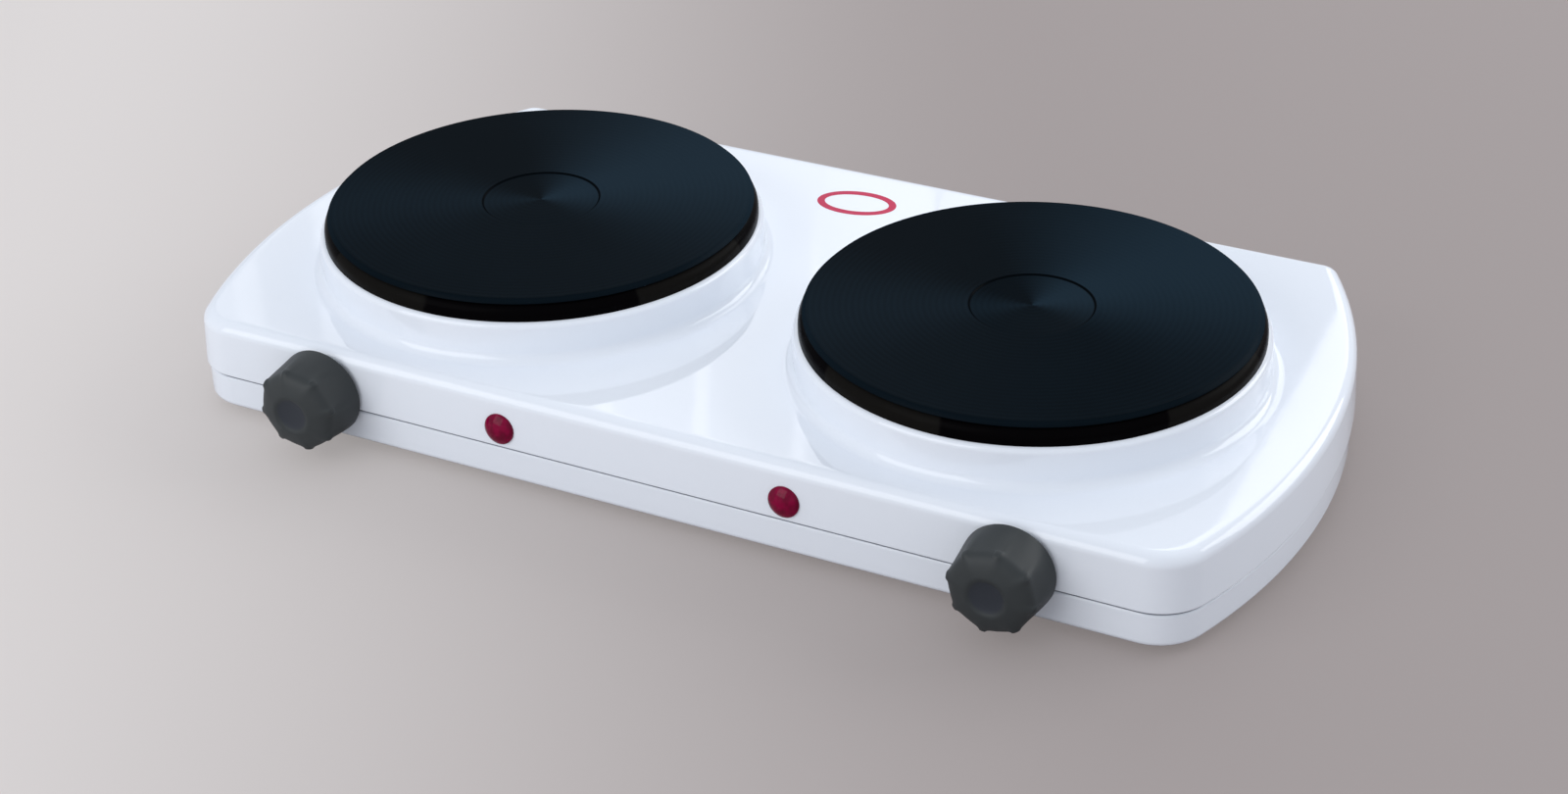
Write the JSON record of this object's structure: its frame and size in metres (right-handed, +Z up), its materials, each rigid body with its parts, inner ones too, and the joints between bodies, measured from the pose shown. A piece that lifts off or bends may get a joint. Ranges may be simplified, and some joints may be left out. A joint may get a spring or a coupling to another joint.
{
  "type": "hot plate burner",
  "caption": "Low white enamelled countertop hot plate with round cast iron plates on raised collars, rotary heat knobs and pilot lamps on the front, standing on rubber feet.",
  "frame": {"origin": "on the surface the feet stand on, midway between the two plates and midway in depth between the knob faces and the rear cable gland", "axes": "+Z up, +X to the right as seen by someone facing the knobs, -Y towards that person"},
  "size_m": [0.4854, 0.2752, 0.071],
  "materials": {
    "white_enamel": "glossy vitreous enamel on pressed sheet steel",
    "cast_iron": "turned and blacked cast iron with fine concentric grooves",
    "black_enamel": "glossy brown-black enamel on pressed steel",
    "ceramic_body": "unglazed steatite",
    "coil_wire": "resistance wire",
    "zinc_plated_steel": "zinc plated",
    "bright_steel": "bright steel",
    "brass_parts": "plain brass",
    "knob_plastic": "satin charcoal thermoset plastic",
    "black_plastic": "satin black plastic",
    "ruby_lens": "clear ruby plastic",
    "lamp_glass": "clear glass",
    "foot_rubber": "matt black rubber",
    "brown_lead": "silicone sleeving",
    "blue_lead": "silicone sleeving",
    "white_lead": "silicone sleeving",
    "green_lead": "silicone sleeving"
  },
  "bodies": {
    "casing": {"top_cover": "white_enamel", "base_pan": "white_enamel", "left_hot_plate": "cast_iron", "right_hot_plate": "cast_iron", "left_spill_ring": "black_enamel", "right_spill_ring": "black_enamel", "left_insulation": "ceramic_body", "right_insulation": "ceramic_body", "left_heating_coils": "coil_wire", "right_heating_coils": "coil_wire", "left_back_cover": "zinc_plated_steel", "right_back_cover": "zinc_plated_steel", "left_plate_terminals": "ceramic_body", "right_plate_terminals": "ceramic_body", "left_thermal_cutout": "black_plastic", "right_thermal_cutout": "black_plastic", "plate_studs": "zinc_plated_steel", "stud_spacers": "zinc_plated_steel", "stud_washers": "zinc_plated_steel", "stud_nuts": "zinc_plated_steel", "left_clamp_bar": "zinc_plated_steel", "right_clamp_bar": "zinc_plated_steel", "left_heat_shield": "bright_steel", "right_heat_shield": "bright_steel", "left_regulator_bracket": "zinc_plated_steel", "right_regulator_bracket": "zinc_plated_steel", "left_regulator_housing": "ceramic_body", "right_regulator_housing": "ceramic_body", "regulator_tabs": "brass_parts", "regulator_screws": "zinc_plated_steel", "left_contact_leaf": "brass_parts", "right_contact_leaf": "brass_parts", "left_spindle_bush": "brass_parts", "right_spindle_bush": "brass_parts", "left_lamp_lens": "ruby_lens", "right_lamp_lens": "ruby_lens", "lamp_clips": "bright_steel", "lamp_holders": "black_plastic", "neon_lamps": "lamp_glass", "mains_block": "ceramic_body", "mains_block_screws": "brass_parts", "cable_gland": "black_plastic", "gland_nut": "zinc_plated_steel", "earth_screw": "brass_parts", "deck_posts": "zinc_plated_steel", "rubber_feet": "foot_rubber", "foot_screws": "zinc_plated_steel", "base_screws": "zinc_plated_steel", "live_wires": "brown_lead", "neutral_wires": "blue_lead", "plate_wires": "brown_lead", "lamp_wires": "white_lead", "earth_wire": "green_lead"},
    "left_knob": {"left_knob": "knob_plastic", "left_spindle": "bright_steel", "left_knob_clip": "bright_steel"},
    "right_knob": {"right_knob": "knob_plastic", "right_spindle": "bright_steel", "right_knob_clip": "bright_steel"}
  },
  "joints": [
    {"name": "left_knob_turn", "type": "hinge", "parent": "casing", "child": "left_knob", "pos_m": [-0.155, -0.1129, 0.026], "axis": [0, 1, 0], "range_deg": [0, 270]},
    {"name": "right_knob_turn", "type": "hinge", "parent": "casing", "child": "right_knob", "pos_m": [0.155, -0.1129, 0.026], "axis": [0, 1, 0], "range_deg": [0, 270]}
  ]
}
